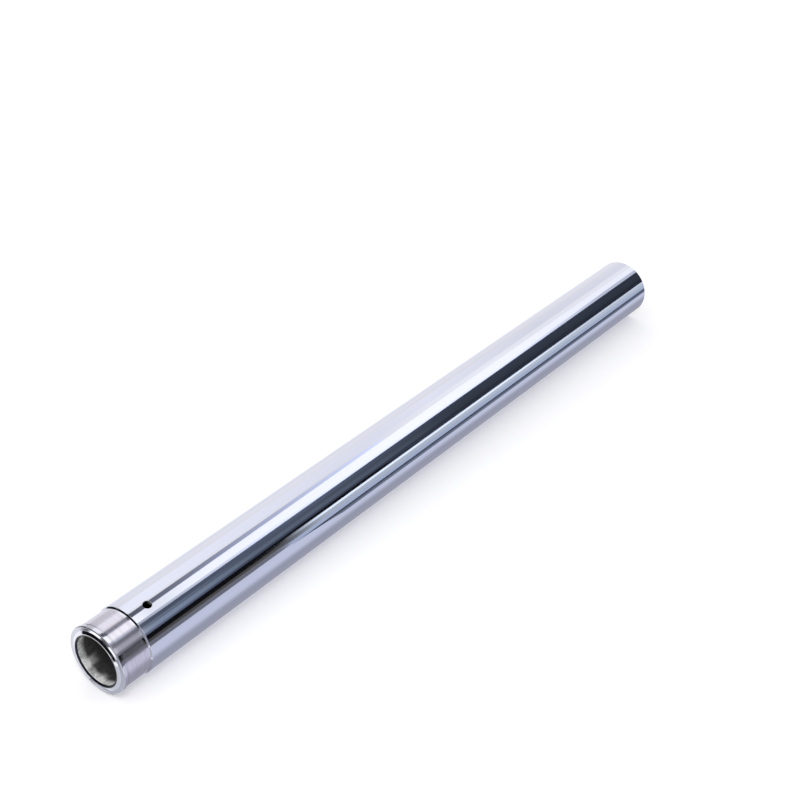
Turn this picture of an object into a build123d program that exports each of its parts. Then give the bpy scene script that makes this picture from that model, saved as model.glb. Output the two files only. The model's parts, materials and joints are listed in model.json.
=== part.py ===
"""Inner tube of a telescopic motorcycle fork: one steel tube, turned, bored and hard-chromed.

The tube lies along X. Its lower end, which runs inside the slider, points to -X. Its upper end,
which the yokes clamp and the cap closes, points to +X. Z is up. The origin is on the tube's axis,
half way along it. Sizes are in millimetres, and every diameter is measured across the axis.
"""

import math
import os

from build123d import *

os.makedirs("parts", exist_ok=True)

# The whole tube. As it lies, its oil hole is rolled by this angle from straight up towards -Y.
tube_length = 532.1
wall_diameter = 41.0
main_bore_diameter = 36.5
resting_roll = 14.5

# Lower end, inside and front: the thick throat ends in a small round bead, the foremost thing.
# The bead's round begins on the throat's wall, goes past its front by the wrap angle and runs on
# in a face cone, back to the lip's flat face.
throat_diameter = 29.0
throat_length = 25.5
throat_cone_angle = 45.0
bead_radius = 1.2
bead_wrap_angle = 24.0

# Lower end, outside: the lip, then the seat of the slide bush between two reliefs, then the
# shoulder up to the wall
lip_diameter = 40.8
lip_face_depth = 0.82
lip_edge_radius = 0.8
lip_length = 2.53
lip_back_chamfer = 0.25
front_relief_width = 1.0
seat_diameter = 39.5
seat_length = 14.15
back_relief_width = 1.45
relief_depth = 0.2
shoulder_length = 0.75

# Oil hole through the wall
oil_hole_diameter = 5.0
oil_hole_distance = 32.7
oil_hole_countersink = 0.2

# Upper end: chamfered rim, seal counterbore, and the bore that the fine cap thread is cut in
rim_outer_chamfer = 0.4
rim_inner_chamfer = 0.6
counterbore_diameter = 38.1
counterbore_depth = 7.5
thread_diameter = 38.0
thread_pitch = 1.0
thread_length = 14.0

# Worked out from the sizes above
THREAD_DEPTH_PER_PITCH = 1.0825
thread_crest_diameter = thread_diameter - THREAD_DEPTH_PER_PITCH * thread_pitch
lower_x = -tube_length / 2
upper_x = tube_length / 2
bead_centre_x = lower_x + bead_radius
bead_centre_radius = throat_diameter / 2 + bead_radius
lip_x = lower_x + lip_face_depth
lip_back_x = lip_x + lip_length
seat_start_x = lip_back_x + front_relief_width
seat_end_x = seat_start_x + seat_length
shoulder_start_x = seat_end_x + back_relief_width
shoulder_end_x = shoulder_start_x + shoulder_length
step_length = (counterbore_diameter - thread_crest_diameter) / 2
bore_step_length = (thread_crest_diameter - main_bore_diameter) / 2
thread_start_x = upper_x - counterbore_depth - step_length
thread_end_x = thread_start_x - thread_length
cone_length = (main_bore_diameter - throat_diameter) / 2 / math.tan(math.radians(throat_cone_angle))
throat_end_x = lower_x + throat_length


def below_axis(x, radius):
    """A point of the outline, which is drawn below the axis: the seam is opposite the oil hole."""
    return (x, 0, -radius)


def bead_point(angle):
    """Point on the bead's round, at an angle from its foremost point, outwards from the axis."""
    turn = math.radians(angle)
    x = bead_centre_x - bead_radius * math.cos(turn)
    return below_axis(x, bead_centre_radius + bead_radius * math.sin(turn))


def face_cone_diameter():
    """Where the face cone, which runs on from the bead's round, meets the lip's flat face."""
    wrap = math.radians(bead_wrap_angle)
    start_x = bead_centre_x - bead_radius * math.cos(wrap)
    start_radius = bead_centre_radius + bead_radius * math.sin(wrap)
    return 2 * (start_radius + (lip_x - start_x) / math.tan(wrap))


def outside_corners():
    """Corners of the outside from the face to the upper rim: x, diameter, rounding radius."""
    relief_diameter = seat_diameter - 2 * relief_depth
    return [
        (lip_x, face_cone_diameter(), 0),
        (lip_x, lip_diameter, lip_edge_radius),
        (lip_back_x - lip_back_chamfer, lip_diameter, 0),
        (lip_back_x, lip_diameter - 2 * lip_back_chamfer, 0),
        (lip_back_x, relief_diameter, 0),
        (seat_start_x, relief_diameter, 0),
        (seat_start_x, seat_diameter, 0),
        (seat_end_x, seat_diameter, 0),
        (seat_end_x, relief_diameter, 0),
        (shoulder_start_x, relief_diameter, 0),
        (shoulder_end_x, wall_diameter, 0),
        (upper_x - rim_outer_chamfer, wall_diameter, 0),
        (upper_x, wall_diameter - 2 * rim_outer_chamfer, 0),
    ]


def inside_corners():
    """Corners of the inside from the upper rim back to the throat: x, diameter, rounding radius."""
    return [
        (upper_x, counterbore_diameter + 2 * rim_inner_chamfer, 0),
        (upper_x - rim_inner_chamfer, counterbore_diameter, 0),
        (upper_x - counterbore_depth, counterbore_diameter, 0),
        (thread_start_x, thread_crest_diameter, 0),
        (thread_end_x, thread_crest_diameter, 0),
        (thread_end_x - bore_step_length, main_bore_diameter, 0),
        (throat_end_x + cone_length, main_bore_diameter, 0),
        (throat_end_x, throat_diameter, 0),
    ]


def turned_tube():
    """The tube as it leaves the lathe: one closed outline turned about X."""
    corners = outside_corners() + inside_corners()
    bead_outer_end = bead_point(bead_wrap_angle)
    bead_inner_end = bead_point(-90)
    points = [below_axis(x, diameter / 2) for x, diameter, rounding in corners]
    roundings = [rounding for x, diameter, rounding in corners]
    wall = FilletPolyline(bead_outer_end, *points, bead_inner_end, radius=roundings)
    bead = ThreePointArc(bead_inner_end, bead_point(0), bead_outer_end)
    return revolve(make_face(wall + bead), Axis.X, 360)


def oil_hole():
    """Drill and countersink of the oil hole, as one cutting tool that points out of the wall."""
    wall_radius = wall_diameter / 2
    drill_radius = oil_hole_diameter / 2
    drill = Cylinder(drill_radius, wall_radius * 1.5, align=(Align.CENTER, Align.CENTER, Align.MIN))
    # The cone opens from the drill's size, a countersink's depth below the crown, past the wall.
    reach = drill_radius
    cone = Cone(
        drill_radius,
        drill_radius + oil_hole_countersink + reach,
        oil_hole_countersink + reach,
        align=(Align.CENTER, Align.CENTER, Align.MIN),
    )
    tool = drill + Pos(0, 0, wall_radius - oil_hole_countersink) * cone
    return Pos(lower_x + oil_hole_distance, 0, 0) * tool


fork_tube = Rot(resting_roll, 0, 0) * (turned_tube() - oil_hole())
export_step(fork_tube, "parts/fork_tube.step")
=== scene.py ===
# %% [markdown]
# This lesson dresses one part: the inner tube of a telescopic motorcycle fork. The real tube is one
# steel pipe, turned, bored, threaded and drilled, and its long wall is plated with hard chrome and
# lapped until it is a mirror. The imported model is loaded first, because every place below is taken from
# it or set against it.

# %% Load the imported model
import json
import math

import bpy
import numpy as np
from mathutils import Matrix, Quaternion, Vector


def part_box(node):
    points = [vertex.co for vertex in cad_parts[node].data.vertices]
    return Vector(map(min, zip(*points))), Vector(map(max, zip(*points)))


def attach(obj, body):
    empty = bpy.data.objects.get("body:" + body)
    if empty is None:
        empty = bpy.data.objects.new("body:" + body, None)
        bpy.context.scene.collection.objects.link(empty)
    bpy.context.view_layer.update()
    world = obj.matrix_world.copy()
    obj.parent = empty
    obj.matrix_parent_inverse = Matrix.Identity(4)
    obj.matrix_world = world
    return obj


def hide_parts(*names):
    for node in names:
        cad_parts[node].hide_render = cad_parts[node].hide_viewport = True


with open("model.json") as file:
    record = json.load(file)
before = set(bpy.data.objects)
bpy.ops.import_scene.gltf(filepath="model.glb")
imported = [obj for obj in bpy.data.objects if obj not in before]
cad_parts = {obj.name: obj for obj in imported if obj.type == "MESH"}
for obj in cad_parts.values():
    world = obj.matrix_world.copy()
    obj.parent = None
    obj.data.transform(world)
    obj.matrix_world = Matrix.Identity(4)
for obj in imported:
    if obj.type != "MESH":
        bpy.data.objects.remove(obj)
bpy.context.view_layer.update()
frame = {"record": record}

MM = 0.001
scene = bpy.context.scene
scene.view_settings.view_transform = "Standard"
mounts = {mount["name"]: mount for mount in frame["record"]["mounts"]}
lower_x, upper_x = (corner[0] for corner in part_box("fork_tube"))
print("The tube runs from x =", round(lower_x / MM, 2), "to", round(upper_x / MM, 2), "mm")

# %% [markdown]
# The camera comes first, since it decides how much of each end is seen. It looks down on the lying
# tube from beside the lower end. Its place was worked out from how the tube's two edges run together
# and how its two ends tilt, so the numbers are real distances from the lip, just behind the bead.

# %% Camera
wall_radius = mounts["chrome_wall"]["dims"]["r_mm"] * MM
floor_z = -wall_radius
lip_behind_bead = 1.2 * MM
lip_front_x = lower_x + lip_behind_bead
camera_from_lip = Vector((-347.37, -433.0, 526.4)) * MM
aim_from_lip = Vector((320.11, 49.45, 0)) * MM
camera_roll = math.radians(3.29)

camera_data = bpy.data.cameras.new("camera")
camera_data.sensor_width = 36
camera_data.lens = 64.59
camera = bpy.data.objects.new("camera", camera_data)
camera.location = Vector((lip_front_x, 0, 0)) + camera_from_lip
aim = Vector((lip_front_x, 0, floor_z)) + aim_from_lip
look = (aim - camera.location).to_track_quat("-Z", "Y")
camera.rotation_euler = (look @ Quaternion((0, 0, 1), camera_roll)).to_euler()
scene.collection.objects.link(camera)
scene.camera = camera
print("Camera", round((aim - camera.location).length, 3), "m from the point it looks at")

# %% [markdown]
# Two small helpers serve every step that follows. One turns a colour as it is written on a paint
# card, an sRGB hex value, into the linear numbers that light is worked out with. The other adds one
# node to a tree, with its settings, and joins its inputs to other nodes or gives them values.

# %% Helpers for colours and nodes
def linear(hex_colour):
    """Linear red, green, blue and alpha of an sRGB hex colour such as #C2C6D2."""
    channels = [int(hex_colour[i:i + 2], 16) / 255 for i in (1, 3, 5)]
    return [c / 12.92 if c <= 0.04045 else ((c + 0.055) / 1.055) ** 2.4 for c in channels] + [1.0]


def add_node(tree, kind, inputs=None, **settings):
    """Add one node. Its inputs are given by name or number, as values or as sockets to join."""
    node = tree.nodes.new(kind)
    for name, value in settings.items():
        setattr(node, name, value)
    for key, value in (inputs or {}).items():
        if isinstance(value, bpy.types.NodeSocket):
            tree.links.new(value, node.inputs[key])
        else:
            node.inputs[key].default_value = value
    return node


print("Middle grey #808080 is", round(linear("#808080")[0], 3), "in linear light")

# %% [markdown]
# A bright metal has hardly a colour of its own: it shows the room. So the studio is built like a
# photographer's tent, from glowing cards, some bright and some nearly black. A card is a sheet of
# points, and each row of them glows at its own level, so that one card can fade along the tube. Only
# reflections see the cards, so they neither light nor shade the floor. Most of them are strips bent
# round the tube's long axis. A strip is written as stations along the tube, with the two angles that
# it spans there, counted from straight overhead towards the camera's side, and its level of glow.
# Behind all of the strips lies a dark tent, and it is what a reflection finds between them.

# %% Glowing cards and the dark tent
CARD_STEPS = 17


def emission_material(name, hex_colour):
    """A surface that glows by its own level at each place, for softboxes and dim cards alike."""
    material = bpy.data.materials.new(name)
    material.use_nodes = True
    tree = material.node_tree
    tree.nodes.clear()
    level = add_node(tree, "ShaderNodeAttribute", attribute_name="level")
    glow = add_node(tree, "ShaderNodeEmission",
                    {"Color": linear(hex_colour), "Strength": level.outputs["Fac"]})
    add_node(tree, "ShaderNodeOutputMaterial", {"Surface": glow.outputs["Emission"]})
    return material


def stage_card(name, rows_of_points, levels, hex_colour):
    """A card of the stage that only reflections see: rows of points, and each row's level of glow."""
    columns = len(rows_of_points[0])
    faces = []
    for row in range(len(rows_of_points) - 1):
        for step in range(columns - 1):
            first = row * columns + step
            faces.append((first, first + 1, first + columns + 1, first + columns))
    mesh = bpy.data.meshes.new(name)
    mesh.from_pydata([point for row in rows_of_points for point in row], [], faces)
    glow = [level for level in levels for step in range(columns)]
    mesh.attributes.new("level", "FLOAT", "POINT").data.foreach_set("value", glow)
    mesh.materials.append(emission_material(name, hex_colour))
    card = bpy.data.objects.new(name, mesh)
    card.visible_camera = card.visible_diffuse = card.visible_shadow = False
    scene.collection.objects.link(card)
    return card


def tent_strip(name, radius, hex_colour, stations):
    """A strip of the tent. Each station is x in metres, its two angles in degrees, and its level."""
    rows_of_points, levels = [], []
    for x, angle_from, angle_to, level in stations:
        angles = np.radians(np.linspace(angle_from, angle_to, CARD_STEPS))
        rows_of_points.append([(x, -radius * math.sin(a), radius * math.cos(a)) for a in angles])
        levels.append(level)
    return stage_card(name, rows_of_points, levels, hex_colour)


NEAR, FAR = -1.2, 4.0
dark_tent = tent_strip("dark_tent", 1.62, "#3A3E48", [(NEAR, -91, 91, 1), (FAR, -91, 91, 1)])
print("Dark tent", round(dark_tent.dimensions.x, 2), "m long,", round(dark_tent.dimensions.y, 2), "m wide")

# %% [markdown]
# Behind the tube hangs a pale sheet, in three heights with levels of their own, and overhead hangs a
# white softbox. By the lower end a dim card fills the narrow gap between them, and it draws the grey
# line that runs through the oil hole. The softbox ends in a bluish edge, which softens its border.

# %% Pale sheets behind, softbox overhead
upper_strips = [
    tent_strip("rear_low_sheet", 1.59, "#F6F2F0", [
        (NEAR, -91, -61, 1.32), (1.1, -91, -61, 1.38), (1.9, -91, -61, 1.28), (FAR, -91, -61, 1.36)]),
    tent_strip("rear_sheet", 1.58, "#F6F3F4", [
        (NEAR, -62, -26, 1.62), (0.6, -62, -26, 1.6), (0.9, -62, -26, 1.46), (1.3, -62, -26, 1.36),
        (1.5, -62, -26, 1.44), (1.9, -62, -26, 1.26), (FAR, -62, -26, 1.36)]),
    tent_strip("rear_high_sheet", 1.57, "#FAF6F2", [
        (NEAR, -27, -19, 1.5), (0.9, -27, -19, 1.4), (1.2, -27, -8, 1.32), (1.5, -27, -8, 1.5),
        (1.7, -27, -8, 1.53), (1.9, -27, -8, 1.43), (FAR, -27, -8, 1.48)]),
    tent_strip("grey_gap", 1.56, "#DDE0F4", [
        (NEAR, -20, -5, 0.19), (0.58, -20, -5, 0.19), (0.7, -20, -5, 0.36), (1.1, -20, -5, 1.3),
        (1.3, -20, -5, 1.7)]),
    tent_strip("overhead_softbox", 1.5, "#FDFAF8", [
        (NEAR, -5, 19, 1.75), (0.58, -5, 19, 1.75), (0.605, -5, 19, 1.35), (0.72, -5, 19, 1.65),
        (1.35, -9, 19, 1.75), (1.7, -9, 19, 1.68), (1.9, -9, 16, 1.58), (2.1, -9, 12, 1.52),
        (FAR, -9, 12, 1.46)]),
    tent_strip("softbox_edge", 1.51, "#F0F3FF", [
        (NEAR, 19, 26, 0.8), (0.58, 19, 26, 0.75), (0.72, 19, 26, 1.1), (0.9, 19, 26, 1.6),
        (1.1, 18, 26, 1.78), (1.7, 18, 25.3, 1.7), (1.9, 15, 24.5, 1.25), (2.1, 11, 24, 0.95),
        (FAR, 11, 23, 0.85)]),
]
print("Strips behind and overhead:", len(upper_strips))

# %% [markdown]
# On the camera's side the room is dim, and that draws the long dark stripe that makes chrome look
# like chrome. Its cards are bluish by the lower end and darker far along. Three more cards, one of
# them behind the tube, hang near the lower end, where only the lip and the bush seat look. They give
# the ground steel its grey bands.

# %% Dim cards on the camera's side
dim_strips = [
    tent_strip("dim_card", 1.61, "#8D97AE", [
        (NEAR, 24, 37, 0.42), (0.7, 24, 37, 0.45), (0.9, 24, 37, 0.5), (1.1, 24, 37, 0.55),
        (1.3, 24, 37, 0.42), (1.55, 24, 37, 0.24), (FAR, 24, 37, 0.07)]),
    tent_strip("blue_card", 1.6, "#9AA6B8", [
        (NEAR, 37, 47, 0.7), (0.7, 37, 47, 0.65), (0.9, 37, 47, 0.42), (1.3, 37, 47, 0.32),
        (1.55, 37, 47, 0.2), (FAR, 37, 47, 0.085)]),
    tent_strip("pale_blue_card", 1.59, "#A4B2C4", [
        (NEAR, 46, 57, 0.9), (0.7, 46, 57, 0.9), (0.9, 46, 57, 0.5), (1.3, 46, 57, 0.34),
        (1.55, 46, 57, 0.15), (FAR, 46, 57, 0.08)]),
    tent_strip("lower_blue_card", 1.6, "#8D97AE", [
        (NEAR, 57, 64, 0.8), (0.7, 57, 64, 0.7), (0.9, 57, 64, 0.34), (1.3, 57, 64, 0.26),
        (1.55, 57, 73, 0.15), (FAR, 57, 73, 0.06)]),
    tent_strip("near_rear_card", 1.53, "#F4F3F6", [(NEAR, -86, -50, 0.85), (0.575, -86, -50, 0.85)]),
    tent_strip("near_grey_card", 1.55, "#CAC7CA", [(NEAR, 27, 64, 0.64), (0.59, 27, 64, 0.64)]),
    tent_strip("near_pale_card", 1.54, "#CAC7CA", [(NEAR, 40, 56, 1.6), (0.59, 40, 56, 1.6)]),
]
print("Dim strips, and those for the seat:", len(dim_strips))

# %% [markdown]
# Just above the floor the stripe gets its lower edge. By the lower end that is a black card with
# grey ones under it. Far along the tube it is a pale sheet instead, which ends the stripe in a bright
# line, and a bluish sheet between that and the floor.

# %% Low cards and sheets
low_strips = [
    tent_strip("black_card", 1.58, "#141416", [(NEAR, 63, 77, 1), (1.3, 63, 77, 1)]),
    tent_strip("low_card", 1.57, "#6A655F", [
        (NEAR, 77, 86, 0.4), (0.6, 77, 86, 0.4), (0.62, 77, 86, 0.8), (1.3, 77, 86, 0.8)]),
    tent_strip("low_grey_card", 1.56, "#8C8C94", [(NEAR, 85, 90.6, 0.9), (1.3, 85, 90.6, 0.9)]),
    tent_strip("low_bright_sheet", 1.54, "#DDE3E9", [
        (0.95, 70, 79, 0.03), (1.05, 72, 79, 2.0), (1.7, 72, 79, 2.1), (2.0, 72, 79, 1.4),
        (FAR, 72, 79, 1.05)]),
    tent_strip("low_blue_sheet", 1.53, "#DDE3E9", [
        (0.95, 79, 91, 0.2), (1.05, 79, 91, 0.95), (1.7, 79, 91, 1.1), (2.0, 79, 91, 1.1),
        (FAR, 79, 91, 1.1)]),
]
print("Low strips:", len(low_strips))

# %% [markdown]
# In front of the tube's mouth the room is dark too. A black flag stands bent round the mouth, and it
# draws the black band on the mouth's bead and the thin black line on the shoulder. A low black flag
# beside the tube carries that line on to the shoulder's far side, and a grey flag on the camera's side
# of the mouth keeps the ring there grey.

# %% Flags round the mouth
FLAG_DISTANCE = 0.1
FLAG_STEPS = 25


def mouth_flag(name, azimuths, top_z, hex_colour):
    """A card that stands bent round the mouth: azimuths count from -X towards +Y, in degrees."""
    turns = np.radians(np.linspace(*azimuths, FLAG_STEPS))
    bend = [(lower_x - FLAG_DISTANCE * math.cos(t), FLAG_DISTANCE * math.sin(t)) for t in turns]
    return stage_card(name, [[(x, y, z) for x, y in bend] for z in (floor_z, top_z)], [1, 1], hex_colour)


black_flag = mouth_flag("black_flag", (-15, 62), 0.09, "#101014")
grey_flag = mouth_flag("grey_flag", (-75, -15), 0.06, "#B4B6C2")
side_ends = [(lower_x + x * MM, FLAG_DISTANCE) for x in (-62, -6)]
side_flag = stage_card("side_flag", [[(x, y, z) for x, y in side_ends] for z in (floor_z, 0.045)], [1, 1],
                       "#101014")
flags = (black_flag, grey_flag, side_flag)
print("Flag heights in mm:", [round(flag.dimensions.z / MM, 1) for flag in flags])

# %% [markdown]
# Cards flat on the floor do the rest. Bright and dark ones by the mouth break up the ring round the
# bead, and a pale grey one in front keeps that ring from burning out. A grey card along the tube does
# the same for the wall's lower side, and its levels draw the soft bands there; where they fall towards
# the tube they are painted shade, the floor's shade under the tube as the chrome would show it. A small
# dim card under the lip is painted shade as well, the tube's shadow under its edge. Far out the floor
# turns grey, and paler again towards the far end. A dark line runs along that paler card's near edge:
# seen in the chrome, it is the thin dark line low on the far half of the wall.

# %% Cards on the floor
def floor_card(name, x_range, stations, hex_colour, height=0.2):
    """A card flat on the floor, in millimetres from the mouth. Each station is y and its level there."""
    ends = [lower_x + x * MM for x in x_range]
    rows_of_points = [[(x, y * MM, floor_z + height * MM) for x in ends] for y, level in stations]
    return stage_card(name, rows_of_points, [level for y, level in stations], hex_colour)


floor_cards = [
    floor_card("bright_card", (-32, -21), [(11, 2.0), (19.5, 2.0)], "#FFFFFF"),
    floor_card("dark_card", (-32, -21), [(19.5, 0.3), (28, 0.3)], "#2A2D38"),
    floor_card("second_bright_card", (-34, -23.5), [(28, 2.0), (37, 2.0)], "#FFFFFF"),
    floor_card("second_dark_card", (-34, -23.5), [(37, 0.3), (42, 0.3)], "#2A2D38"),
    floor_card("front_card", (-49, -0.6), [(-60, 0.95), (0, 0.95), (5, 0.7), (9.5, 0.55)], "#E0E2EA"),
    floor_card("dark_front_card", (-99, -70), [(-17, 0.3), (0, 0.3)], "#2A2D38"),
    # Its levels dip towards the tube: painted shade of the floor there, seen only in reflections.
    floor_card("grey_card", (4, 1000), [
        (-204, 1.5), (-88, 1.55), (-60, 1.55), (-46, 1.45), (-37, 1.05), (-31, 0.86), (-23, 0.82),
        (-16, 0.72), (-13, 1.0), (-10, 1.7)], "#CBCBD7"),
    # Painted shade: a dim patch under the lip's edge, where the tube shades the floor, seen only in
    # reflections.
    floor_card("under_card", (0.6, 8), [(-9.5, 0.5), (14, 0.5)], "#8C8C94"),
    floor_card("far_card", (-900, 4300), [(-1540, 0.9), (-205, 0.9)], "#8C8C94"),
    floor_card("line_card", (216, 2000), [
        (-134, 0.1), (-100, 0.3), (-97, 0.8), (-80, 0.8), (-66, 1.1)], "#8C94A4", 0.3),
]
# The paler far card has a slanted edge, so it isn't a rectangle: each row is y and where it begins.
far_light_edge = [(-1540, 1190), (-205, 264), (-134, 216)]
far_light_height = floor_z + 0.4 * MM
floor_cards.append(stage_card(
    "far_light_card",
    [[(lower_x + x * MM, y * MM, far_light_height) for x in (from_x, 4300)] for y, from_x in far_light_edge],
    [1.6] * len(far_light_edge), "#A8B0C1"))
print("Cards on the floor:", len(floor_cards))

# %% [markdown]
# The floor is plain pale paper. A little glow that only straight views and reflections see lifts the
# paper to white and leaves the soft shade under the tube in place.

# %% Floor
FLOOR_HALF = 6.0
PAPER_LIFT = 0.25
floor_mesh = bpy.data.meshes.new("floor")
floor_mesh.from_pydata(
    [(-FLOOR_HALF, -FLOOR_HALF, floor_z), (FLOOR_HALF, -FLOOR_HALF, floor_z),
     (FLOOR_HALF, FLOOR_HALF, floor_z), (-FLOOR_HALF, FLOOR_HALF, floor_z)], [], [(0, 1, 2, 3)])
floor = bpy.data.objects.new("floor", floor_mesh)
scene.collection.objects.link(floor)

paper = bpy.data.materials.new("matt_white_paper")
paper.use_nodes = True
tree = paper.node_tree
tree.nodes.clear()
path = add_node(tree, "ShaderNodeLightPath")
seen = add_node(tree, "ShaderNodeMath", {0: path.outputs["Is Camera Ray"], 1: path.outputs["Is Glossy Ray"]},
                operation="MAXIMUM")
seen = add_node(tree, "ShaderNodeMath", {0: seen.outputs[0], 1: path.outputs["Is Transmission Ray"]},
                operation="MAXIMUM")
lift = add_node(tree, "ShaderNodeMath", {0: seen.outputs[0], 1: PAPER_LIFT}, operation="MULTIPLY")
paper_diffuse = add_node(tree, "ShaderNodeBsdfDiffuse", {"Color": linear("#E8E8EB")})
paper_glow = add_node(tree, "ShaderNodeEmission", {"Color": linear("#FFFFFF"), "Strength": lift.outputs[0]})
paper_sum = add_node(tree, "ShaderNodeAddShader", {0: paper_diffuse.outputs[0], 1: paper_glow.outputs[0]})
add_node(tree, "ShaderNodeOutputMaterial", {"Surface": paper_sum.outputs[0]})
floor_mesh.materials.append(paper)
print("Floor", 2 * FLOOR_HALF, "m wide, at z =", round(floor_z / MM, 2), "mm")

# %% [markdown]
# The room is white and lights everything evenly from all sides, so only a soft shade gathers under the
# tube. The throat would stay too dark in it. A small softbox above the mouth sends a little light in,
# on the throat's lower wall, and reflections don't see the lamp itself.

# %% Room and the lamp above the mouth
lamp_size, lamp_distance, lamp_watts = 0.12, 0.45, 0.45
lamp_direction = Vector((-0.32, -0.42, 0.85))
mouth = Vector((lower_x, 0, 0))
mouth_light = bpy.data.lights.new("mouth_softbox", "AREA")
mouth_light.size = lamp_size
mouth_light.energy = lamp_watts
mouth_lamp = bpy.data.objects.new("mouth_softbox", mouth_light)
mouth_lamp.location = mouth + lamp_distance * lamp_direction
mouth_lamp.rotation_euler = (mouth_lamp.location - mouth).to_track_quat("Z", "Y").to_euler()
mouth_lamp.visible_glossy = False
scene.collection.objects.link(mouth_lamp)

world = bpy.data.worlds.new("white_room")
scene.world = world
world.use_nodes = True
tree = world.node_tree
tree.nodes.clear()
room = add_node(tree, "ShaderNodeBackground", {"Color": linear("#FFFFFF"), "Strength": 1.0})
add_node(tree, "ShaderNodeOutputWorld", {"Surface": room.outputs[0]})
print("Lamp", round((mouth_lamp.location - mouth).length / MM), "mm from the mouth,", lamp_watts, "W")

# %% [markdown]
# A lathe cuts every surface of this tube round one axis, so one outline says it all. Its sizes come
# first, in millimetres. The bores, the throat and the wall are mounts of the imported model, so they are
# read from there, and the small steps of the lower end follow one another from the bead backwards.

# %% Sizes of the tube
dims = {name: mount["dims"] for name, mount in mounts.items()}
tube_length = (upper_x - lower_x) / MM
tube_radius = wall_radius / MM
throat_radius, bore_radius = dims["throat"]["r_mm"], dims["spring_bore"]["r_mm"]
crest_radius, counterbore_radius = dims["cap_thread"]["r_mm"], dims["cap_seal_bore"]["r_mm"]

bead_radius, bead_wrap = 1.2, 24.0
bead_centre = (bead_radius, throat_radius + bead_radius)
throat_end = bead_radius + dims["throat"]["length_mm"]
cone_end = throat_end + bore_radius - throat_radius

lip_radius, relief_radius, seat_radius = 20.4, 19.55, 19.75
lip_length, front_relief, seat_length, back_relief, shoulder_length = 2.53, 1.0, 14.15, 1.45, 0.75
lip_face = 0.82
lip_back = lip_face + lip_length
seat_start = lip_back + front_relief
seat_end = seat_start + seat_length
shoulder_start = seat_end + back_relief
shoulder_end = shoulder_start + shoulder_length
lip_rounding, lip_back_chamfer, shoulder_rounding, throat_rounding = 0.8, 0.25, 0.4, 0.3

rim_chamfer, mouth_chamfer, counterbore_depth = 0.4, 0.6, 7.5
thread_pitch, thread_depth, thread_run_out = 1.0, 0.54, 1.0
thread_length = dims["cap_thread"]["length_mm"]
thread_start = tube_length - counterbore_depth - (counterbore_radius - crest_radius)
thread_end = thread_start - thread_length
bore_end = thread_end - (crest_radius - bore_radius)

hole_x, hole_radius, hole_countersink, hole_roll = 32.7, 2.5, 0.2, math.radians(14.5)
print("Seat from", round(seat_start, 2), "to", round(seat_end, 2), "mm, throat ends at", throat_end, "mm")

# %% [markdown]
# The outline is a closed loop of corners, each with its distance from the lower end, its radius and a
# small rounding. No real edge is quite sharp, and even a tenth of a millimetre of rounding catches a
# line of light. The bead is round itself, so its points come from a circle, and the corners beside the
# oil hole only keep the wall's long faces away from where the drill will cut.

# %% Corners of the outline
FINE_EDGE, SOFT_EDGE = 0.05, 0.1
HOLE_CLEAR = 4.5


def bead_point(angle):
    """Point on the bead's round, at an angle in degrees from its front, outwards."""
    turn = math.radians(angle)
    return (bead_centre[0] - bead_radius * math.cos(turn), bead_centre[1] + bead_radius * math.sin(turn))


cone_front = bead_point(bead_wrap)
face_radius = cone_front[1] + (lip_face - cone_front[0]) / math.tan(math.radians(bead_wrap))

# Each corner: distance from the lower end, radius, rounding, and the finish of what follows it.
corners = [
    (*cone_front, 0, "bead"),
    (lip_face, face_radius, SOFT_EDGE, "turned"),
    (lip_face, lip_radius, lip_rounding, "turned"),
    (lip_back - lip_back_chamfer, lip_radius, SOFT_EDGE, "turned"),
    (lip_back, lip_radius - lip_back_chamfer, SOFT_EDGE, "turned"),
    (lip_back, relief_radius, FINE_EDGE, "turned"),
    (seat_start, relief_radius, FINE_EDGE, "turned"),
    (seat_start, seat_radius, FINE_EDGE, "seat"),
    (seat_end, seat_radius, FINE_EDGE, "turned"),
    (seat_end, relief_radius, FINE_EDGE, "turned"),
    (shoulder_start, relief_radius, FINE_EDGE, "turned"),
    (shoulder_end, tube_radius, shoulder_rounding, "chrome"),
    (hole_x - HOLE_CLEAR, tube_radius, 0, "chrome"),
    (hole_x + HOLE_CLEAR, tube_radius, 0, "chrome"),
    (tube_length - rim_chamfer, tube_radius, SOFT_EDGE, "turned"),
    (tube_length, tube_radius - rim_chamfer, SOFT_EDGE, "turned"),
    (tube_length, counterbore_radius + mouth_chamfer, SOFT_EDGE, "turned"),
    (tube_length - mouth_chamfer, counterbore_radius, SOFT_EDGE, "bored"),
    (tube_length - counterbore_depth, counterbore_radius, FINE_EDGE, "bored"),
    (thread_start, crest_radius, FINE_EDGE, "thread"),
    (thread_end, crest_radius, FINE_EDGE, "bored"),
    (bore_end, bore_radius, FINE_EDGE, "drawn"),
    (hole_x + HOLE_CLEAR, bore_radius, 0, "drawn"),
    (cone_end, bore_radius, SOFT_EDGE, "bored"),
    (throat_end, throat_radius, throat_rounding, "throat"),
]
print("Corners:", len(corners))

# %% [markdown]
# Each row of the outline is a point with its exact normal, since a mirror will need it later. A rounded
# corner is a few points on an arc, and the larger roundings get finer steps, because steps would show
# there. The thread's stretch gets a dozen rows for each pitch, and they carry how deep its groove is:
# it runs out to nothing at both ends, as a cut thread does.

# %% Rows of the outline
FINISHES = ["bead", "oxide", "throat", "turned", "seat", "chrome", "bored", "thread", "drawn"]
# Between these angles the bead's inner half is darkened nearly to black, the dark ring round the mouth.
DARK_RING_FROM, DARK_RING_TO = -70, 3
BEAD_ROWS, BEAD_END = 57, bead_wrap - 2
ROUND_STEP, EDGE_STEP = 9, 22
ROWS_PER_PITCH = 12


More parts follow.
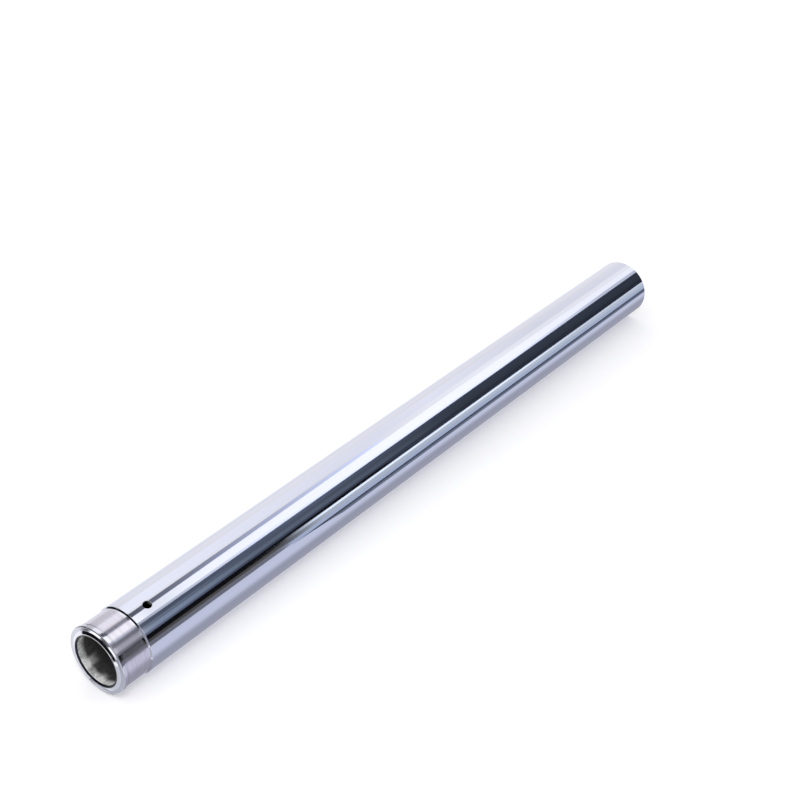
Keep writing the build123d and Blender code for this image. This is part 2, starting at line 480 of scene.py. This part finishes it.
def rounded_corner(before, corner, after, rounding):
    """Points of one rounded corner with their outward normals: x, radius, normal x, normal radius."""
    before, corner, after = (np.array(point, float) for point in (before, corner, after))
    way_in, way_out = corner - before, after - corner
    way_in, way_out = way_in / np.linalg.norm(way_in), way_out / np.linalg.norm(way_out)
    turn = math.atan2(way_in[0] * way_out[1] - way_in[1] * way_out[0], way_in @ way_out)
    step_angle = ROUND_STEP if rounding > SOFT_EDGE else EDGE_STEP
    steps = math.ceil(abs(math.degrees(turn)) / step_angle) if rounding else 0
    start_normal = np.array([-way_in[1], way_in[0]])
    start = corner - way_in * rounding * math.tan(abs(turn) / 2)
    points = []
    for step in range(steps + 1):
        angle = turn * step / max(steps, 1)
        normal = start_normal * math.cos(angle) - way_in * math.sin(angle)
        place = start + math.copysign(rounding, turn) * (start_normal - normal)
        points.append((*place, *normal))
    return points


def outline_rows():
    """The closed outline as rows: x, radius, normal x, normal radius, groove depth, finish number."""
    rows = []
    for angle in np.linspace(-90, BEAD_END, BEAD_ROWS):
        turn = math.radians(angle)
        if angle < DARK_RING_FROM:
            finish = "throat"
        elif angle < DARK_RING_TO:
            finish = "oxide"
        else:
            finish = "bead"
        rows.append((*bead_point(angle), -math.cos(turn), math.sin(turn), 0, FINISHES.index(finish)))
    ring = [bead_point(BEAD_END)] + [corner[:2] for corner in corners] + [bead_point(-90)]
    for number, (x, radius, rounding, finish) in enumerate(corners):
        for point in rounded_corner(*ring[number:number + 3], rounding):
            rows.append((*point, 0, FINISHES.index(finish)))
        if finish == "thread":
            row_count = round(thread_length / thread_pitch * ROWS_PER_PITCH)
            for row in range(1, row_count):
                depth_in = thread_length * row / row_count
                fade = min(1, depth_in / thread_run_out, (thread_length - depth_in) / thread_run_out)
                rows.append((thread_start - depth_in, crest_radius, 0, -1, thread_depth * fade,
                             FINISHES.index("thread")))
    rows.append(rows[0])
    return np.array(rows)


rows = outline_rows()
print("Outline rows:", len(rows), "per finish:", np.bincount(rows[:, 5].astype(int)).tolist())

# %% [markdown]
# Turning is a rule, so Geometry Nodes does it. The tree lays out a grid, one row for each row of the
# outline and one column for each step round the axis, and sends every grid point to the place that
# the rule gives: x from the outline, and the radius swung round by the column's angle. The cap thread
# is the same rule with one term more, a groove whose place along the bore moves by one pitch for
# each turn. The finish of each row picks the material of its faces.

# %% Tree: turned surface
SEGMENTS, DRILL_SEGMENTS = 240, 64
CREST_FLAT, ROOT_FLAT = 0.12, 0.44
WELD_GAP = 0.001 * MM


def named_socket(tree, name, kind, default=None):
    """A named input of a Geometry Nodes tree."""
    socket = tree.interface.new_socket(name=name, in_out="INPUT", socket_type=kind)
    if default is not None:
        socket.default_value = default


def turned_surface_tree(finish_names):
    """Tree that swings an outline round the X axis and gives each finish its material."""
    tree = bpy.data.node_groups.new("Turned surface", "GeometryNodeTree")
    tree.interface.new_socket(name="Geometry", in_out="OUTPUT", socket_type="NodeSocketGeometry")
    named_socket(tree, "Geometry", "NodeSocketGeometry")
    named_socket(tree, "Segments", "NodeSocketInt", SEGMENTS)
    named_socket(tree, "Thread Pitch", "NodeSocketFloat", thread_pitch * MM)
    for name in finish_names:
        named_socket(tree, name, "NodeSocketMaterial")
    given = add_node(tree, "NodeGroupInput")
    outline, segments = given.outputs["Geometry"], given.outputs["Segments"]
    count = add_node(tree, "GeometryNodeAttributeDomainSize", {"Geometry": outline}, component="MESH")
    columns = add_node(tree, "FunctionNodeIntegerMath", {0: segments, 1: 1}, operation="ADD").outputs[0]
    grid = add_node(tree, "GeometryNodeMeshGrid",
                    {"Vertices X": count.outputs["Point Count"], "Vertices Y": columns})
    index = add_node(tree, "GeometryNodeInputIndex").outputs[0]
    row = add_node(tree, "FunctionNodeIntegerMath", {0: index, 1: columns}, operation="DIVIDE_FLOOR")
    row = row.outputs[0]
    column = add_node(tree, "FunctionNodeIntegerMath", {0: index, 1: columns}, operation="MODULO").outputs[0]
    position = add_node(tree, "GeometryNodeInputPosition").outputs[0]
    place = add_node(tree, "GeometryNodeSampleIndex", {"Geometry": outline, "Value": position, "Index": row},
                     data_type="FLOAT_VECTOR")
    place = add_node(tree, "ShaderNodeSeparateXYZ", {0: place.outputs[0]})
    groove_name = add_node(tree, "GeometryNodeInputNamedAttribute", {"Name": "groove"}, data_type="FLOAT")
    groove = add_node(tree, "GeometryNodeSampleIndex",
                      {"Geometry": outline, "Value": groove_name.outputs[0], "Index": row}, data_type="FLOAT")
    turn = add_node(tree, "ShaderNodeMath", {0: column, 1: segments}, operation="DIVIDE").outputs[0]
    # The groove: a V with a flat crest and root, as far along as x in pitches less the turn. The flats
    # end at so many pitches from the crest's middle.
    pitches = add_node(tree, "ShaderNodeMath", {0: place.outputs["X"], 1: given.outputs["Thread Pitch"]},
                       operation="DIVIDE")
    along = add_node(tree, "ShaderNodeMath", {0: pitches.outputs[0], 1: turn}, operation="SUBTRACT")
    wave = add_node(tree, "ShaderNodeMath", {0: along.outputs[0], 1: 0.5}, operation="PINGPONG")
    shape = add_node(tree, "ShaderNodeMapRange",
                     {"Value": wave.outputs[0], "From Min": CREST_FLAT, "From Max": ROOT_FLAT})
    deeper = add_node(tree, "ShaderNodeMath",
                      {0: shape.outputs["Result"], 1: groove.outputs[0], 2: place.outputs["Z"]},
                      operation="MULTIPLY_ADD").outputs[0]
    angle = add_node(tree, "ShaderNodeMath", {0: turn, 1: 2 * math.pi}, operation="MULTIPLY").outputs[0]
    sine = add_node(tree, "ShaderNodeMath", {0: angle}, operation="SINE").outputs[0]
    cosine = add_node(tree, "ShaderNodeMath", {0: angle}, operation="COSINE").outputs[0]
    y = add_node(tree, "ShaderNodeMath", {0: deeper, 1: sine}, operation="MULTIPLY").outputs[0]
    z = add_node(tree, "ShaderNodeMath", {0: deeper, 1: cosine}, operation="MULTIPLY").outputs[0]
    swung = add_node(tree, "ShaderNodeCombineXYZ", {"X": place.outputs["X"], "Y": y, "Z": z})
    turned = add_node(tree, "GeometryNodeSetPosition",
                      {"Geometry": grid.outputs["Mesh"], "Position": swung.outputs[0]})
    face_row = add_node(tree, "FunctionNodeIntegerMath", {0: index, 1: segments}, operation="DIVIDE_FLOOR")
    finish_name = add_node(tree, "GeometryNodeInputNamedAttribute", {"Name": "finish"}, data_type="INT")
    finish = add_node(tree, "GeometryNodeSampleIndex",
                      {"Geometry": outline, "Value": finish_name.outputs[0], "Index": face_row.outputs[0]},
                      data_type="INT")
    kept = add_node(tree, "GeometryNodeStoreNamedAttribute",
                    {"Geometry": turned.outputs[0], "Name": "finish", "Value": finish.outputs[0]},
                    data_type="INT", domain="FACE")
    # The grid's first and last columns and rows lie on one another, so the weld closes the tube.
    welded = add_node(tree, "GeometryNodeMergeByDistance",
                      {"Geometry": kept.outputs[0], "Distance": WELD_GAP})
    made = add_node(tree, "GeometryNodeRealizeInstances", {"Geometry": welded.outputs[0]})
    for number, name in enumerate(finish_names):
        stored = add_node(tree, "GeometryNodeInputNamedAttribute", {"Name": "finish"}, data_type="INT")
        chosen = add_node(tree, "FunctionNodeCompare", {2: stored.outputs[0], 3: number},
                          data_type="INT", operation="EQUAL")
        made = add_node(tree, "GeometryNodeSetMaterial",
                        {"Geometry": made.outputs[0], "Selection": chosen.outputs[0],
                         "Material": given.outputs[name]})
    add_node(tree, "NodeGroupOutput", {"Geometry": made.outputs[0]})
    return tree


turned_tree = turned_surface_tree(FINISHES)
print("Nodes in the tree:", len(turned_tree.nodes))

# %% [markdown]
# Now the finishes. All are bare or plated steel, so all are fully metallic but one, the throat's crust,
# and all keep the usual index of refraction. What tells them apart is how the tool left them: the
# rings of a lathe, the faint lines of a grinding wheel, or a lapped plating with no marks to speak of.
# Rings lie across the tube, so the marks are a noise that is squeezed along X and left long the other
# ways. Real ones are a few hundredths of a millimetre apart, too fine for the render to show, so they
# are drawn some ten times as coarse.

# %% Rings left by a tool
NOISE_LOW, NOISE_HIGH = 0.3, 0.7


def tool_rings(tree, spacing, length_round=12 * MM, detail=3.0):
    """Noise, 0 to 1, in rings about X, also on a flat face: their spacing, and how long a mark is."""
    place = add_node(tree, "ShaderNodeTexCoord").outputs["Object"]
    split = add_node(tree, "ShaderNodeSeparateXYZ", {0: place})
    across = add_node(tree, "ShaderNodeCombineXYZ", {"Y": split.outputs["Y"], "Z": split.outputs["Z"]})
    radius = add_node(tree, "ShaderNodeVectorMath", {0: across.outputs[0]}, operation="LENGTH")
    along = add_node(tree, "ShaderNodeMath", {0: split.outputs["X"], 1: radius.outputs["Value"]},
                     operation="ADD")
    place = add_node(tree, "ShaderNodeCombineXYZ",
                     {"X": along.outputs[0], "Y": split.outputs["Y"], "Z": split.outputs["Z"]})
    scale = (1 / spacing, 1 / length_round, 1 / length_round)
    squeezed = add_node(tree, "ShaderNodeMapping", {"Vector": place.outputs[0], "Scale": scale})
    noise = add_node(tree, "ShaderNodeTexNoise",
                     {"Vector": squeezed.outputs[0], "Scale": 1.0, "Detail": detail})
    return noise.outputs["Fac"]


def metal_material(name, hex_colour, roughness, anisotropy=0.0):
    """A metallic surface with its own tree; returns the material, its tree and its shader node."""
    material = bpy.data.materials.new(name)
    material.use_nodes = True
    tree = material.node_tree
    tree.nodes.clear()
    shader = add_node(tree, "ShaderNodeBsdfPrincipled",
                      {"Base Color": linear(hex_colour), "Metallic": 1.0, "Roughness": roughness,
                       "Anisotropic": anisotropy})
    add_node(tree, "ShaderNodeOutputMaterial", {"Surface": shader.outputs["BSDF"]})
    return material, tree, shader


def brush_along_rings(tree, shader):
    """Let the anisotropy follow rings about X: reflections blur along the tube and stay crisp round it."""
    tangent = add_node(tree, "ShaderNodeTangent", direction_type="RADIAL", axis="X")
    tree.links.new(tangent.outputs["Tangent"], shader.inputs["Tangent"])
    # The tangent runs round the tube, and a quarter of a full turn lays the blur along it.
    shader.inputs["Anisotropic Rotation"].default_value = 0.25


def add_bump(tree, shader, height, depth):
    """Let a 0 to 1 height stand as real bumps of a depth in metres on a shader."""
    bump = add_node(tree, "ShaderNodeBump", {"Height": height, "Strength": 1.0, "Distance": depth})
    tree.links.new(bump.outputs["Normal"], shader.inputs["Normal"])


def vary(tree, shader, socket, source, low, high):
    """Drive a shader's colour between two hex values, or its roughness between two numbers, by a noise."""
    if isinstance(low, str):
        mix = add_node(tree, "ShaderNodeMix", {0: source, 6: linear(low), 7: linear(high)}, data_type="RGBA")
        tree.links.new(mix.outputs[2], shader.inputs[socket])
    else:
        spread = add_node(tree, "ShaderNodeMapRange",
                          {"Value": source, "From Min": NOISE_LOW, "From Max": NOISE_HIGH,
                           "To Min": low, "To Max": high})
        tree.links.new(spread.outputs["Result"], shader.inputs[socket])


finish_materials = {}
print("Finishes to make:", ", ".join(FINISHES))

# %% [markdown]
# Hard chrome is plated on, ground and lapped. To the eye it is a cool, faintly blue mirror. Lapping
# leaves a film of very fine rings, which only soften the reflection a little, in slow patches.

# %% Hard chrome
def hard_chrome():
    """Lapped hard chrome: a cool mirror, softened a little by the lapping."""
    material, tree, shader = metal_material("lapped_hard_chrome", "#C3C8D6", 0.06)
    patches = tool_rings(tree, 60 * MM, 25 * MM, 4.0)
    vary(tree, shader, "Roughness", patches, 0.045, 0.085)
    add_bump(tree, shader, tool_rings(tree, 0.9 * MM, 14 * MM), 0.00002 * MM)
    return material


finish_materials["chrome"] = hard_chrome()
print("Made", finish_materials["chrome"].name)

# %% [markdown]
# The bush seat is ground steel without chrome. It still mirrors the long stripes of the room, since
# its marks run round the tube, but it spreads them along it, and it is duller. The lip, the reliefs
# and the rims are turned, which leaves them brighter, and the bead's front is polished with a mop.

# %% Ground, turned and polished steel
def ground_steel():
    """Ground steel of the bush seat: satin, with fine rings."""
    material, tree, shader = metal_material("ground_steel", "#C1C0CC", 0.22, 0.88)
    brush_along_rings(tree, shader)
    vary(tree, shader, "Base Color", tool_rings(tree, 0.5 * MM, 16 * MM), "#B1B0BD", "#D1D1DC")
    add_bump(tree, shader, tool_rings(tree, 0.35 * MM, 20 * MM), 0.0002 * MM)
    return material


def turned_steel():
    """Turned steel of the lip, the reliefs and the rims: bright, with the tool's rings."""
    material, tree, shader = metal_material("turned_steel", "#CBCCD6", 0.11, 0.7)
    brush_along_rings(tree, shader)
    vary(tree, shader, "Base Color", tool_rings(tree, 0.5 * MM, 30 * MM), "#B6B7C3", "#D2D3DC")
    add_bump(tree, shader, tool_rings(tree, 0.3 * MM, 20 * MM), 0.0002 * MM)
    return material


def polished_steel():
    """Polished steel of the bead's front, which a soft mop leaves as bright as chrome."""
    material, tree, shader = metal_material("polished_steel", "#DCDDE4", 0.1)
    add_bump(tree, shader, tool_rings(tree, 0.4 * MM, 20 * MM), 0.0003 * MM)
    return material


finish_materials.update(seat=ground_steel(), turned=turned_steel(), bead=polished_steel())
print("Finishes made so far:", len(finish_materials))

# %% [markdown]
# Inside, nothing needs to shine. The counterbore and the cone keep the boring bar's rings, the thread
# is dull from the cutting, and the main bore is as grey and even as the pipe came from the mill.

# %% Bored, threaded and drawn steel
def bored_steel():
    """Bored steel of the counterbore and the cone: duller, with the boring bar's rings."""
    material, tree, shader = metal_material("bored_steel", "#B4B3B6", 0.34, 0.6)
    vary(tree, shader, "Base Color", tool_rings(tree, 0.7 * MM, 10 * MM), "#9C9B9F", "#C8C7C9")
    add_bump(tree, shader, tool_rings(tree, 0.4 * MM, 16 * MM), 0.0015 * MM)
    return material


def threaded_steel():
    """Cut steel of the cap thread: dull on the flanks, with a trace of cutting oil."""
    material, tree, shader = metal_material("threaded_steel", "#9A9892", 0.38)
    vary(tree, shader, "Base Color", tool_rings(tree, 3 * MM, 6 * MM), "#85837D", "#A9A7A2")
    return material


def drawn_steel():
    """Drawn steel of the main bore, which no tool has touched since the pipe was made: grey and even."""
    material, tree, shader = metal_material("drawn_steel", "#8E8D8C", 0.42)
    vary(tree, shader, "Base Color", tool_rings(tree, 20 * MM, 5 * MM), "#7E7D7C", "#9A9998")
    return material


finish_materials.update(bored=bored_steel(), thread=threaded_steel(), drawn=drawn_steel())
print("Finishes made so far:", len(finish_materials))

# %% [markdown]
# The throat was phosphated, which leaves a grey crust of crystals on the steel, so it looks like stone
# more than like metal. Its colour carries painted light and shade: pale by the mouth, where light falls
# in, dark further in, where the bore lies in shade, and two painted highlight streaks run in from the
# mouth. Round the bead's inner half the colour is darkened nearly to black, a dark ring which frames the
# mouth.

# %% Throat with painted light and shade, and the dark ring
PAINTED_HIGHLIGHT_STREAKS = [(222, 11), (268, 8)]


def long_marks(tree, width, length):
    """Noise, 0 to 1, in marks drawn along the tube: how wide and how long they are."""
    place = add_node(tree, "ShaderNodeTexCoord").outputs["Object"]
    squeezed = add_node(tree, "ShaderNodeMapping",
                        {"Vector": place, "Scale": (1 / length, 1 / width, 1 / width)})
    noise = add_node(tree, "ShaderNodeTexNoise",
                     {"Vector": squeezed.outputs[0], "Scale": 1.0, "Detail": 3.0})
    return noise.outputs["Fac"]


def fade_inwards(tree, along, start, end, low, high):
    """A value that changes from low to high between two distances from the lower end, in millimetres."""
    return add_node(tree, "ShaderNodeMapRange",
                    {"Value": along, "From Min": lower_x + start * MM, "From Max": lower_x + end * MM,
                     "To Min": low, "To Max": high}).outputs["Result"]


def phosphated_steel():
    """The throat's matt crust, its colour painted pale by the mouth where light falls in, dark further in."""
    material, tree, shader = metal_material("phosphated_steel", "#8A8A8C", 0.4)
    shader.inputs["Metallic"].default_value = 0.2
    place = add_node(tree, "ShaderNodeTexCoord").outputs["Object"]
    along = add_node(tree, "ShaderNodeSeparateXYZ", {0: place}).outputs["X"]
    # Painted light and shade: pale by the mouth, where light falls in, dark further in, where the bore is
    # shaded.
    painted_mouth_light = fade_inwards(tree, along, 2.8, 5.5, 0.85, 0.05)
    # Each painted highlight streak runs in its own direction from the axis, in degrees, and reaches so many
    # mm in.
    for degrees, reach in PAINTED_HIGHLIGHT_STREAKS:
        angle = math.radians(degrees)
        on_wall = (0, -math.cos(angle) / throat_radius / MM, math.sin(angle) / throat_radius / MM)
        side = add_node(tree, "ShaderNodeVectorMath", {0: place, 1: on_wall}, operation="DOT_PRODUCT")
        width = add_node(tree, "ShaderNodeMapRange",
                         {"Value": side.outputs["Value"], "From Min": 0.975, "From Max": 1.0, "To Max": 0.6})
        painted_streak = add_node(tree, "ShaderNodeMath",
                       {0: width.outputs["Result"], 1: fade_inwards(tree, along, 3, reach, 1.0, 0.0)},
                       operation="MULTIPLY")
        painted_mouth_light = add_node(tree, "ShaderNodeMath", {0: painted_mouth_light, 1: painted_streak.outputs[0]}, operation="ADD")
        painted_mouth_light = painted_mouth_light.outputs[0]
    # The crust is mottled: the marks scale the painted light, so they fade out with it further in.
    mottles = add_node(tree, "ShaderNodeMapRange",
                       {"Value": long_marks(tree, 2.2 * MM, 3.5 * MM), "From Min": 0.32, "From Max": 0.68,
                        "To Min": 0.5, "To Max": 1.3})
    amount = add_node(tree, "ShaderNodeMath", {0: painted_mouth_light, 1: mottles.outputs["Result"]},
                      operation="MULTIPLY", use_clamp=True)
    # The painted light and shade run from near black deep in the throat to white by the mouth.
    vary(tree, shader, "Base Color", amount.outputs[0], "#30302F", "#FFFFFF")
    return material


def dark_ring_steel():
    """The bead's inner half, darkened nearly to black with a dull sheen: the dark ring round the mouth."""
    material, tree, shader = metal_material("dark_oxide_steel", "#2A2A30", 0.3)
    vary(tree, shader, "Base Color", tool_rings(tree, 1 * MM, 5 * MM), "#1E1E24", "#3A3A42")
    return material


finish_materials.update(throat=phosphated_steel(), oxide=dark_ring_steel())
print("Finishes:", [finish_materials[name].name for name in FINISHES])

# %% [markdown]
# The outline goes in as a chain of points that carry the groove's depth and the finish, and the tree
# turns it into the tube.

# %% Turn the tube
def outline_object(name, rows):
    """A chain of points in the XZ plane, with the groove and the finish of each row."""
    mesh = bpy.data.meshes.new(name)
    points = [(lower_x + x * MM, 0, radius * MM) for x, radius in rows[:, :2]]
    mesh.from_pydata(points, [(i, i + 1) for i in range(len(points) - 1)], [])
    mesh.attributes.new("groove", "FLOAT", "POINT").data.foreach_set("value", rows[:, 4] * MM)
    mesh.attributes.new("finish", "INT", "POINT").data.foreach_set("value", rows[:, 5].astype(np.int32))
    piece = bpy.data.objects.new(name, mesh)
    scene.collection.objects.link(piece)
    return piece


def turn(piece, segments):
    """Put the turning tree on a piece and give its named inputs their values."""
    values = {"Segments": segments, "Thread Pitch": thread_pitch * MM, **finish_materials}
    modifier = piece.modifiers.new("turned", "NODES")
    modifier.node_group = turned_tree
    for item in turned_tree.interface.items_tree:
        if item.name in values:
            modifier[item.identifier] = values[item.name]


def plain_mesh(piece, name):
    """The evaluated result of a piece as a mesh of its own."""
    graph = bpy.context.evaluated_depsgraph_get()
    mesh = bpy.data.meshes.new_from_object(piece.evaluated_get(graph))
    mesh.name = name
    return mesh


tube = outline_object("fork_tube_turned", rows)
turn(tube, SEGMENTS)
print("Turned", len(rows), "rows in", SEGMENTS, "steps")

# %% [markdown]
# The oil hole is cut by a drill, which is itself a small outline turned by the same tree: a straight
# flank, and a countersink that opens past the wall. It cuts only the one wall, because its tip stops
# half way to the axis. The result is turned into a plain mesh, and both helpers go.

# %% Drill the oil hole
drill_tip, drill_top = tube_radius * 0.5, tube_radius + 3
flare_start = tube_radius - hole_countersink
drill_corners = [(drill_tip, 0), (drill_tip, hole_radius), (flare_start, hole_radius),
                 (drill_top, hole_radius + drill_top - flare_start), (drill_top, 0)]
bored = FINISHES.index("bored")
drill_rows = np.array([(x - lower_x / MM, radius, 0, 0, 0, bored) for x, radius in drill_corners])
drill = outline_object("oil_hole_drill", drill_rows)
turn(drill, DRILL_SEGMENTS)
drill_direction = Vector((0, -math.sin(hole_roll), math.cos(hole_roll)))
drill.rotation_euler = Vector((1, 0, 0)).rotation_difference(drill_direction).to_euler()
drill.location = (lower_x + hole_x * MM, 0, 0)

cut = tube.modifiers.new("oil_hole", "BOOLEAN")
cut.operation = "DIFFERENCE"
cut.solver = "EXACT"
cut.object = drill
tube_mesh = plain_mesh(tube, "fork_tube_turned")
for helper in (tube, drill):
    bpy.data.objects.remove(helper)
print("Faces", len(tube_mesh.polygons), "corners", len(tube_mesh.loops))

# %% [markdown]
# A mirror shows every error of its normals. On flat faces they can only be guessed from the faces
# around, but here the outline knows them exactly. So each corner of a turned face looks up the
# nearest place on the outline and takes its normal from there, swung round the axis. The thread and
# the drilled hole keep the normals that their own faces give.

# %% Exact normals for the mirror
SHARP_ANGLE, SAME_NORMAL_ANGLE = math.radians(35), math.radians(25)


def outline_normals(x, radius):
    """Outline normals (along x, along the radius) at the nearest place on the outline, in mm."""
    starts, ends = rows[:-1], rows[1:]
    way = ends[:, :2] - starts[:, :2]
    length_squared = np.maximum((way ** 2).sum(axis=1), 1e-12)
    best = np.full(len(x), np.inf)
    normals = np.zeros((len(x), 2))
    places = np.stack([x, radius], axis=1)
    for start, end, step, squared in zip(starts, ends, way, length_squared):
        share = np.clip((places - start[:2]) @ step / squared, 0, 1)
        gap = ((places - start[:2] - share[:, None] * step) ** 2).sum(axis=1)
        nearer = gap < best
        best[nearer] = gap[nearer]
        normals[nearer] = start[2:4] + share[nearer, None] * (end[2:4] - start[2:4])
    return normals / np.linalg.norm(normals, axis=1)[:, None]


def set_exact_normals(mesh):
    """Give every corner of the turned faces its outline normal; the others keep their own."""
    for polygon in mesh.polygons:
        polygon.use_smooth = True
    mesh.set_sharp_from_angle(angle=SHARP_ANGLE)
    own = np.empty(len(mesh.loops) * 3)
    mesh.corner_normals.foreach_get("vector", own)
    own = own.reshape(-1, 3)
    places = np.empty(len(mesh.vertices) * 3)
    mesh.vertices.foreach_get("co", places)
    places = places.reshape(-1, 3) / MM
    around = np.hypot(places[:, 1], places[:, 2])
    flat = outline_normals(places[:, 0] - lower_x / MM, around)
    outwards = places[:, 1:] / around[:, None]
    swung = np.column_stack([flat[:, 0], flat[:, 1, None] * outwards])
    corner_vertex = np.empty(len(mesh.loops), np.int32)
    mesh.loops.foreach_get("vertex_index", corner_vertex)
    exact = swung[corner_vertex]
    # A turned corner's own normal is never far from the outline's; the drilled and threaded ones are.
    near = (own * exact).sum(axis=1) > math.cos(SAME_NORMAL_ANGLE)
    mesh.normals_split_custom_set(np.where(near[:, None], exact, own).tolist())
    return int(near.sum())


exact_count = set_exact_normals(tube_mesh)
print("Corners with exact normals:", exact_count, "of", len(tube_mesh.loops))

# %% [markdown]
# The finished tube stands for the imported model's plainer one. It sits at the origin with its place in
# its mesh, and rides on the one body there is.

# %% Put the tube in the model
piece = bpy.data.objects.new("fork_tube_turned", tube_mesh)
scene.collection.objects.link(piece)
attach(piece, "root")
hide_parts("fork_tube")
